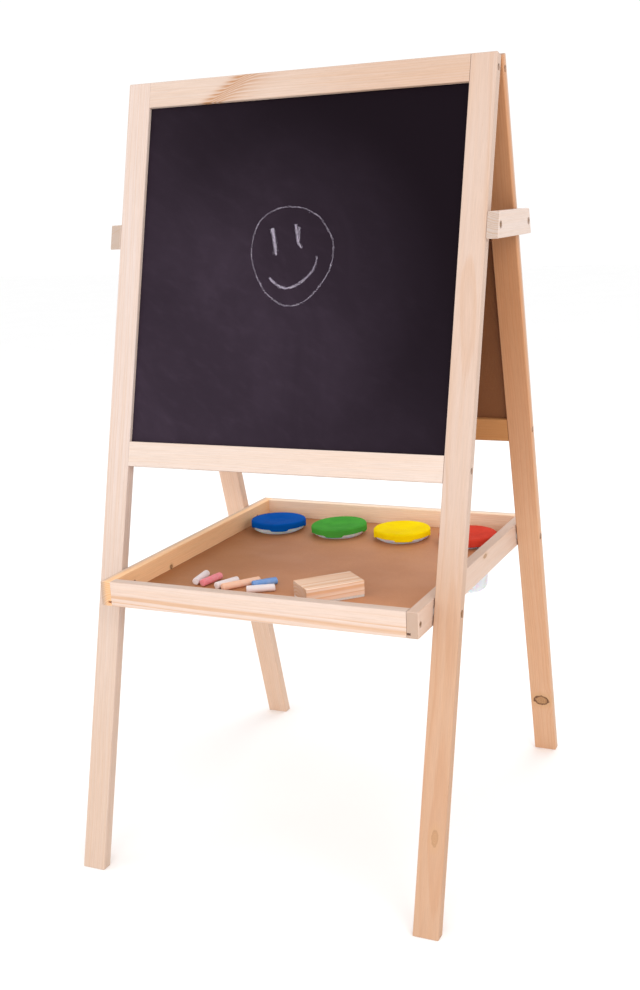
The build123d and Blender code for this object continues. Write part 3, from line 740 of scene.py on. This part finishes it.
def chalk_stick(node, colour_name, wear, seed):
    """A used stick: slightly tapered, chipped at the ends, one end rubbed down at a slant."""
    direction, length = long_axis(node)
    radius = size_of(node).z / 2
    bm = bmesh.new()
    rings = []
    for i in range(stick_rings + 1):
        t = i / stick_rings
        at = -0.5 * length + length * (0.5 - 0.5 * math.cos(math.pi * t))
        near_end = max(0.0, 1 - (0.5 * length - abs(at)) / end_round)
        ring = []
        for k in range(stick_sides):
            angle = 2 * math.pi * k / stick_sides
            r = radius * (stick_fullness - stick_taper * t)
            r *= 1 - end_narrowing * near_end * near_end
            spot = Vector((at * 320, math.cos(angle) * 1.7, math.sin(angle) * 1.7 + seed))
            r *= 1 + broad_dents * noise.noise(spot) + fine_dents * noise.noise(spot * 3.1)
            x = at
            if t > 0.5:
                worn = wear * radius * (math.cos(angle - 0.6) + 0.6)
                x -= max(0.0, worn) * ((t - 0.5) * 2) ** 6
            spot = Vector((seed, math.cos(angle) * 3, math.sin(angle) * 3))
            x += end_chips * near_end * noise.noise(spot)
            ring.append(bm.verts.new((x, r * math.cos(angle), r * math.sin(angle))))
        rings.append(ring)
    for a, b in zip(rings, rings[1:]):
        for k in range(stick_sides):
            bm.faces.new([a[k], a[(k + 1) % stick_sides], b[(k + 1) % stick_sides], b[k]])
    for ring, side in ((rings[0], -1), (rings[-1], 1)):
        hub = sum((v.co for v in ring), Vector()) / stick_sides
        inner = []
        for v in ring:
            co = hub.lerp(v.co, 0.5)
            co.x += side * end_bulge * (1 + noise.noise(co * 900 + Vector((seed, 0, 0))))
            inner.append(bm.verts.new(co))
        tip = bm.verts.new(hub + Vector((side * end_bulge, 0, 0)))
        for k in range(stick_sides):
            j = (k + 1) % stick_sides
            bm.faces.new([ring[k], ring[j], inner[j], inner[k]])
            bm.faces.new([inner[k], inner[j], tip])
    turn = Matrix((direction, Z.cross(direction), Z)).transposed().to_4x4()
    bm.transform(Matrix.Translation(centre_of(node) + Z * stick_lift) @ turn)
    piece(node + "_stick", bm, chalk_materials[colour_name], node, node)


# Each stick: its node, its colour, and how far its end is rubbed down, in radii
sticks = (
    ("chalk_white_short", "white", 0.10),
    ("chalk_pink", "pink", 0.35),
    ("chalk_white_middle", "white", 0.05),
    ("chalk_orange", "orange", 0.25),
    ("chalk_blue", "blue", 0.30),
    ("chalk_white_long", "white", 0.12),
)
for number, (node, colour_name, wear) in enumerate(sticks):
    chalk_stick(node, colour_name, wear, number * 5.3 + 1.0)


# ---- eraser ---------------------------------------------------------------------------------

eraser_along = long_axis("eraser_block")[0]
eraser_across = Z.cross(eraser_along)
dress("eraser_block", pine("pine_eraser", centre_of("eraser_block"), eraser_along, eraser_across,
                           seed=55.0, pith=(0.006, -0.030), ring=0.0052, slant=0.03,
                           contrast=1.9, tint=(1.38, 1.27, 1.16)))
felt_edge, felt_cuts = 0.0008, 44
# How far the felt's surface sinks between its tufts, finely and broadly
felt_fine, felt_broad = 0.00022, 0.00018


def eraser_felt():
    """Felt strip: soft edges and a fibrous surface."""
    length = long_axis("eraser_felt")[1]
    middle = centre_of("eraser_felt")
    points = [v.co - middle for v in nodes["eraser_felt"].data.vertices]
    width = 2 * max(abs(p.dot(eraser_across)) for p in points)
    bm = bmesh.new()
    bmesh.ops.create_cube(bm, size=1.0)
    bmesh.ops.scale(bm, vec=(length, width, size_of("eraser_felt").z), verts=bm.verts)
    bmesh.ops.bevel(bm, geom=bm.edges[:], offset=felt_edge, segments=3, affect="EDGES", profile=0.6)
    long_edges = [e for e in bm.edges if e.calc_length() > 0.01]
    bmesh.ops.subdivide_edges(bm, edges=long_edges, cuts=felt_cuts, use_grid_fill=True)
    bmesh.ops.recalc_face_normals(bm, faces=bm.faces)
    bm.normal_update()
    for v in bm.verts:
        lift = noise.noise(v.co * 620) * felt_fine + noise.noise(v.co * 180) * felt_broad
        v.co += v.normal * min(lift, 0.0)
    turn = Matrix((eraser_along, eraser_across, Z)).transposed().to_4x4()
    bm.transform(Matrix.Translation(middle) @ turn)
    made = piece("eraser_felt_strip", bm, felt_material(), "eraser", "eraser_felt")


eraser_felt()


# ---- chalk drawing --------------------------------------------------------------------------

def smooth_line(points, steps):
    """Catmull-Rom line through points in a plane, with steps points to each span."""
    padded = [points[0], *points, points[-1]]
    line = []
    for p0, p1, p2, p3 in zip(padded, padded[1:], padded[2:], padded[3:]):
        for i in range(steps):
            t = i / steps
            line.append(tuple(
                0.5 * (2 * b + (c - a) * t + (2 * a - 5 * b + 4 * c - d) * t * t
                       + (3 * b - a - 3 * c + d) * t ** 3)
                for a, b, c, d in zip(p0, p1, p2, p3)))
    return line + [points[-1]]


# Each stroke: its points in millimetres from the board's middle, its width, and how thickly it
# covers at its start and its end
drawing = [
    ([(33, 82), (8, 92.5), (-26, 92), (-54, 75), (-65, 41), (-60, 9), (-39, -26), (-9, -45),
      (19, -42), (44, -21), (61, 9), (62, 44), (44, 73), (32, 83)], 2.2, 0.30, 0.34),
    ([(-34, 64), (-29, 46), (-25, 26)], 5.4, 1.15, 0.75),
    ([(3, 69), (6.5, 52), (9, 42), (15, 35)], 3.8, 1.15, 0.80),
    ([(9, 65), (9.5, 45)], 3.0, 0.65, 0.55),
    ([(-33, -6), (-27, -12), (-11, -20.5), (10, -17), (33, 2), (40, 23)], 3.4, 1.0, 0.30),
]
# Chalk grains to each square millimetre at full cover, their least and greatest radius in
# millimetres, their corners, and how far they stand off the board in metres
grain_density, grain_radius, grain_corners, grain_lift = 3.4, (0.22, 0.48), 5, 0.00004


def chalk_drawing():
    """A plain smiling face in chalk, as loose grains on the board in five strokes."""
    random.seed(11)
    node = "chalkboard_panel"
    middle = centre_of(node)
    half_thickness = min(abs((v.co - middle).dot(front_in)) for v in nodes[node].data.vertices)
    surface = middle - front_in * (half_thickness + grain_lift)
    bm = bmesh.new()
    for points, width, start_cover, end_cover in drawing:
        line = smooth_line(points, 40)
        lengths = [math.dist(a, b) for a, b in zip(line, line[1:])]
        total, run = sum(lengths), 0.0
        for (a, b), length in zip(zip(line, line[1:]), lengths):
            cover = start_cover + (end_cover - start_cover) * run / total
            cover *= 0.75 + 0.5 * noise.noise(Vector((run * 0.12, width, 0)))
            run += length
            side = Vector((-(b[1] - a[1]), b[0] - a[0])) / max(length, 1e-6)
            count = length * width * cover * grain_density
            for _ in range(int(count) + (random.random() < count % 1)):
                t, off = random.random(), random.gauss(0, 0.27) * width
                x = a[0] + (b[0] - a[0]) * t + side.x * off
                y = a[1] + (b[1] - a[1]) * t + side.y * off
                grain = random.uniform(*grain_radius)
                turn = random.uniform(0, math.pi)
                corners = []
                for k in range(grain_corners):
                    angle = turn + 2 * math.pi * k / grain_corners
                    reach = grain * random.uniform(0.7, 1.2) / 1000
                    spot = surface + X * (x / 1000 + reach * math.cos(angle))
                    spot += front_up * (y / 1000 + reach * math.sin(angle))
                    corners.append(bm.verts.new(spot))
                bm.faces.new(corners)
    piece("chalk_drawing", bm, chalk_materials["line"], "front_frame", smooth=False)


chalk_drawing()


# ---- stage, light and camera ----------------------------------------------------------------

def floor():
    """A plain pale floor, wide enough to fill the view."""
    bm = bmesh.new()
    bmesh.ops.create_grid(bm, x_segments=8, y_segments=8, size=14.0)
    mesh = bpy.data.meshes.new("floor")
    bm.to_mesh(mesh)
    bm.free()
    made = bpy.data.objects.new("floor", mesh)
    bpy.context.scene.collection.objects.link(made)
    s = Shader("floor_paint")
    mottle = s.noise(s.place(), 3.0, 3.0)
    made.data.materials.append(s.set(
        Base_Color=s.mix(s.span(mottle, 0.3, 0.7), (0.97, 0.97, 0.97), (0.96, 0.96, 0.96)),
        Roughness=0.85, Specular_IOR_Level=0.1))


floor()


def area_light(name, at, target, size, power):
    """A square studio light, size metres wide, that faces its target."""
    data = bpy.data.lights.new(name, "AREA")
    data.shape, data.size, data.energy = "SQUARE", size, power
    light = bpy.data.objects.new(name, data)
    light.location = at
    light.rotation_euler = (Vector(target) - Vector(at)).to_track_quat("-Z", "Y").to_euler()
    bpy.context.scene.collection.objects.link(light)


area_light("key", (2.7, -2.1, 2.6), (0, 0, 0.7), 2.0, 36)
area_light("low_front", (0.3, -2.9, 1.05), (0, 0, 0.5), 1.6, 21)
area_light("fill_left", (-3.0, -1.6, 1.9), (0, 0, 0.6), 2.4, 16)
area_light("back", (0.5, 3.2, 2.6), (0, 0, 0.6), 2.2, 24)

world = bpy.data.worlds.new("studio")
world.use_nodes = True
backdrop = world.node_tree.nodes["Background"]
backdrop.inputs["Color"].default_value = (1.0, 1.0, 1.0, 1.0)
backdrop.inputs["Strength"].default_value = 1.03
bpy.context.scene.world = world
bpy.context.scene.view_settings.view_transform = "Standard"

# Where the camera stands in metres and how it is turned in degrees, then its lens and sensor in
# millimetres and its shift in widths of the picture
camera_at = Vector((0.7876, -1.7055, 0.9678))
camera_yaw, camera_pitch, camera_roll = 25.045, -15.25, -2.639
camera_lens, camera_sensor, camera_shift = 45.34, 36.0, (-0.0026, 0.0419)


def camera():
    """The camera at the viewing angle, turned to the left, tipped down and rolled a little."""
    yaw, pitch, roll = (math.radians(a) for a in (camera_yaw, camera_pitch, camera_roll))
    level = Vector((math.cos(yaw), math.sin(yaw), 0))
    ahead = Z.cross(level) * math.cos(pitch) + Z * math.sin(pitch)
    above = level.cross(ahead)
    right = level * math.cos(roll) + above * math.sin(roll)
    up = above * math.cos(roll) - level * math.sin(roll)
    data = bpy.data.cameras.new("camera")
    data.lens, data.sensor_width = camera_lens, camera_sensor
    data.shift_x, data.shift_y = camera_shift
    data.clip_start, data.clip_end = 0.05, 60.0
    made = bpy.data.objects.new("camera", data)
    turn = Matrix((right, up, -ahead)).transposed().to_4x4()
    made.matrix_world = Matrix.Translation(camera_at) @ turn
    bpy.context.scene.collection.objects.link(made)
    bpy.context.scene.camera = made


camera()
